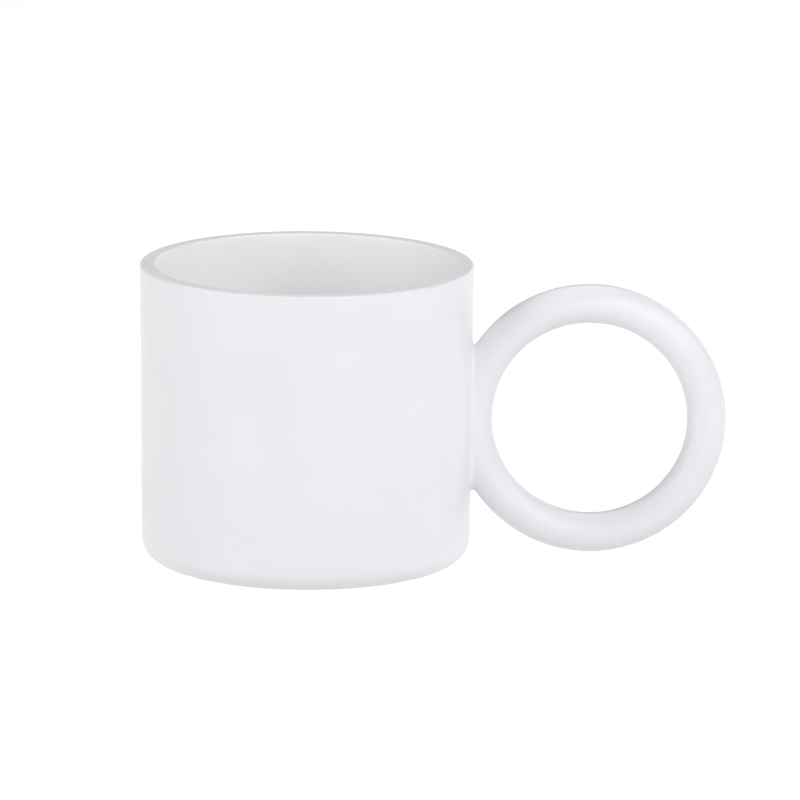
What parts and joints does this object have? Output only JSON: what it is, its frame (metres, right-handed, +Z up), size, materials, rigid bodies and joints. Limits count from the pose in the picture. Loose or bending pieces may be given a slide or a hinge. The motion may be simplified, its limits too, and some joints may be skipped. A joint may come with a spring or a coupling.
{
  "type": "ceramic mug",
  "caption": "Straight-sided ceramic mug with a large round ring handle, glazed inside and out, on a bare foot ring round a shallow recess.",
  "frame": {"origin": "on the plane that the foot rests on, at the middle of the whole mug's footprint, handle included; the cup's own axis is upright at X = -0.032275", "axes": "+Z up along the cup's axis towards the open mouth, +X from the cup towards the ring handle, which lies in the XZ plane"},
  "size_m": [0.1496, 0.085, 0.0763],
  "materials": {
    "fired_clay": "matte",
    "joining_slip": "matte",
    "white_glaze": "gloss"
  },
  "bodies": {
    "root": {"mug_body": "fired_clay", "ring_handle": "fired_clay", "handle_slip": "joining_slip", "outer_glaze": "white_glaze", "inner_glaze": "white_glaze", "handle_glaze": "white_glaze", "base_glaze": "white_glaze"}
  },
  "joints": []
}
